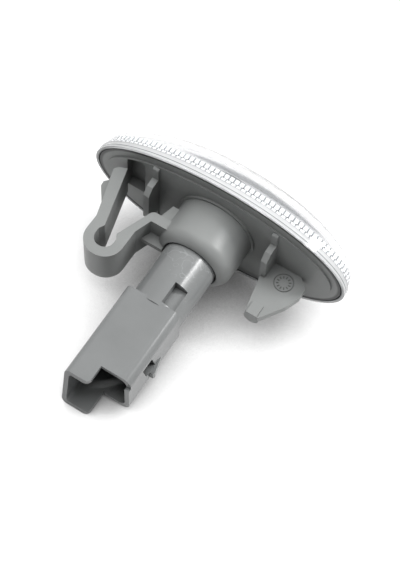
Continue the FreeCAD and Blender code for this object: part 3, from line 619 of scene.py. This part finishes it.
def makePrisms():
    tree, keys = prismTree()
    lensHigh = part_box("lens")[1]
    inset = prismRows["beadStep"] + prismRows["wall"]
    for row in prismRows["rows"]:
        below = max(0.0, row["depth"] + row["rise"] / 2 - prismRows["skirt"])
        lean = math.sqrt(1 - (below / (prismRows["domeRise"] - prismRows["wall"])) ** 2)
        halfLength = (lensHigh.x - inset) * lean
        halfHeight = (lensHigh.z - inset) * lean
        spread = (halfLength - halfHeight) / (halfLength + halfHeight)
        around = math.pi * (halfLength + halfHeight) * (1 + spread ** 2 / 4)
        for form in prismRows["forms"]:
            piece = growPiece(form["name"] + row["name"], tree, keys, {
                "Half length": halfLength, "Half height": halfHeight, "Depth": row["depth"],
                "Count": round(around / prismRows["pitch"]), "Prism width": form["width"],
                "Prism height": form["height"], "Rise": row["rise"], "Sides": form["sides"],
                "Shift": (0.0, form["shift"], 0.0), "Finish": form["finish"]})
            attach(piece, "root")


makePrisms()
print("lens prisms made")

# ticks of the mould date ring on the hook tongue, all plain, in a darker grey painted as shade
dateTicks = {
    "centre": (-0.0291, 0.0056),
    "radius": 0.0021,
    "ringPoints": 48,
    "count": 12,
    "length": 0.0008,
    "width": 0.00026,
    "height": 0.0002,
    "lookFrom": 0.1,
}


def tickTree():
    tree, keys, sizes = newShapeTree("dateTicks", {
        "Radius": "NodeSocketFloat", "Count": "NodeSocketInt", "Tick size": "NodeSocketVector",
        "Place": "NodeSocketVector", "Finish": "NodeSocketMaterial"})
    circle = addNode(tree, "GeometryNodeCurvePrimitiveCircle", {
        "Resolution": dateTicks["ringPoints"], "Radius": sizes["Radius"]})
    points = addNode(tree, "GeometryNodeCurveToPoints", {"Curve": circle.outputs[0], "Count": sizes["Count"]},
                     mode="COUNT")
    turn = addNode(tree, "FunctionNodeAlignRotationToVector", {"Vector": points.outputs["Tangent"]},
                   axis="Y", pivot_axis="Z")
    tick = addNode(tree, "GeometryNodeMeshCube", {"Size": sizes["Tick size"]})
    ring = addNode(tree, "GeometryNodeInstanceOnPoints", {
        "Points": points.outputs["Points"], "Instance": tick.outputs[0], "Rotation": turn.outputs[0]})
    solid = addNode(tree, "GeometryNodeRealizeInstances", {"Geometry": ring.outputs[0]})
    placed = addNode(tree, "GeometryNodeTransform",
                     {"Geometry": solid.outputs[0], "Translation": sizes["Place"]})
    finish = addNode(tree, "GeometryNodeSetMaterial",
                     {"Geometry": placed.outputs[0], "Material": sizes["Finish"]})
    addNode(tree, "NodeGroupOutput", {"Geometry": finish.outputs[0]})
    return tree, keys


# height of the housing's topmost surface under a point
def housingTop(x, y):
    hit, place = nodes["housing"].ray_cast(Vector((x, y, dateTicks["lookFrom"])), Vector((0, 0, -1)))[:2]
    if not hit:
        raise RuntimeError("no housing under the date ring")
    return place.z


def makeDateTicks():
    tree, keys = tickTree()
    x, y = dateTicks["centre"]
    piece = growPiece("date_ticks", tree, keys, {
        "Radius": dateTicks["radius"], "Count": dateTicks["count"],
        "Tick size": (dateTicks["length"], dateTicks["width"], dateTicks["height"] * 2),
        "Place": (x, y, housingTop(x, y)), "Finish": tickShadeGrey})
    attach(piece, "root")


makeDateTicks()
print("date ticks made")

# the filament as a real coil, bowed towards the front like its plain tube
coil = {"turns": 16, "turnPoints": 14, "radius": 0.0003, "wire": 0.00006, "wireSides": 6, "sag": 0.001}


def coilTree():
    tree, keys, sizes = newShapeTree("filamentCoil", {
        "Length": "NodeSocketFloat", "Turns": "NodeSocketFloat", "Radius": "NodeSocketFloat",
        "Wire radius": "NodeSocketFloat", "Sag": "NodeSocketFloat", "Place": "NodeSocketVector",
        "Finish": "NodeSocketMaterial"})
    helix = addNode(tree, "GeometryNodeCurveSpiral", {
        "Resolution": coil["turnPoints"], "Rotations": sizes["Turns"], "Start Radius": sizes["Radius"],
        "End Radius": sizes["Radius"], "Height": sizes["Length"]})
    half = addNode(tree, "ShaderNodeMath", {0: sizes["Length"], 1: -0.5}, operation="MULTIPLY")
    start = addNode(tree, "ShaderNodeCombineXYZ", {2: half.outputs[0]})
    centred = addNode(tree, "GeometryNodeTransform",
                      {"Geometry": helix.outputs[0], "Translation": start.outputs[0]})
    laid = addNode(tree, "GeometryNodeTransform", {
        "Geometry": centred.outputs[0], "Rotation": (0, math.pi / 2, 0)})
    along = addNode(tree, "ShaderNodeSeparateXYZ", {0: addNode(tree, "GeometryNodeInputPosition").outputs[0]})
    share = addNode(tree, "ShaderNodeMath", {0: along.outputs["X"], 1: half.outputs[0]}, operation="DIVIDE")
    square = addNode(tree, "ShaderNodeMath", {0: share.outputs[0], 1: 2.0}, operation="POWER")
    dip = addNode(tree, "ShaderNodeMath", {0: square.outputs[0], 1: -1.0}, operation="ADD")
    bow = addNode(tree, "ShaderNodeMath", {0: dip.outputs[0], 1: sizes["Sag"]}, operation="MULTIPLY")
    shift = addNode(tree, "ShaderNodeCombineXYZ", {1: bow.outputs[0]})
    bowed = addNode(tree, "GeometryNodeSetPosition",
                    {"Geometry": laid.outputs[0], "Offset": shift.outputs[0]})
    section = addNode(tree, "GeometryNodeCurvePrimitiveCircle", {
        "Resolution": coil["wireSides"], "Radius": sizes["Wire radius"]})
    wire = addNode(tree, "GeometryNodeCurveToMesh", {
        "Curve": bowed.outputs[0], "Profile Curve": section.outputs[0], "Fill Caps": True})
    placed = addNode(tree, "GeometryNodeTransform",
                     {"Geometry": wire.outputs[0], "Translation": sizes["Place"]})
    solid = addNode(tree, "GeometryNodeRealizeInstances", {"Geometry": placed.outputs[0]})
    finish = addNode(tree, "GeometryNodeSetMaterial",
                     {"Geometry": solid.outputs[0], "Material": sizes["Finish"]})
    addNode(tree, "NodeGroupOutput", {"Geometry": finish.outputs[0]})
    return tree, keys


def makeCoil():
    tree, keys = coilTree()
    low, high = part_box("bulb_filament")
    piece = growPiece("filament_coil", tree, keys, {
        "Length": high.x - low.x, "Turns": float(coil["turns"]), "Radius": coil["radius"],
        "Wire radius": coil["wire"], "Sag": coil["sag"],
        "Place": (0.0, high.y - coil["radius"], 0.0), "Finish": leadWire})
    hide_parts("bulb_filament")
    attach(piece, "root")


makeCoil()
print("filament made")

# the turned pieces made here keep their faces outwards
grownNames = ("lens_prism", "date_", "filament_")
for piece in [o for o in scene.objects if o.type == "MESH" and o.name.startswith(grownNames)]:
    shape = bmesh.new()
    shape.from_mesh(piece.data)
    bmesh.ops.recalc_face_normals(shape, faces=shape.faces)
    shape.to_mesh(piece.data)
    shape.free()
